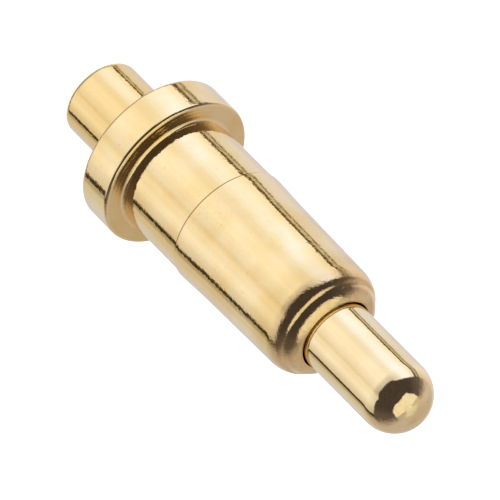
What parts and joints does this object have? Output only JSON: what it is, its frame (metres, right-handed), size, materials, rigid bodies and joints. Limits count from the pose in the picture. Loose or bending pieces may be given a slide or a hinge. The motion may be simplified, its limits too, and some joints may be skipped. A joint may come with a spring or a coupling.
{
  "type": "pogo pin",
  "caption": "Spring-loaded contact pin with a flanged, press-fit barrel, a solder tail for a circuit board and a sliding round-nosed plunger.",
  "frame": {"origin": "on the pin's axis, in the plane of the flange's board side", "axes": "+Z along the pin from the solder tail to the plunger's round tip; X and Y are free, since the pin is round"},
  "size_m": [0.002, 0.002, 0.0062],
  "materials": {
    "barrel_plating": "bright gold plating over nickel, on turned brass",
    "plunger_plating": "bright gold plating over nickel, on turned brass",
    "spring_wire": "drawn stainless spring wire"
  },
  "bodies": {
    "barrel": {"barrel": "barrel_plating", "spring": "spring_wire"},
    "plunger": {"plunger": "plunger_plating"}
  },
  "joints": [
    {"name": "plunger_slide", "type": "slide", "parent": "barrel", "child": "plunger", "axis": [0, 0, -1], "range_m": [0, 0.0014], "stiffness_N_per_m": 550, "springref_m": -0.00035, "deforming": ["spring"]}
  ]
}
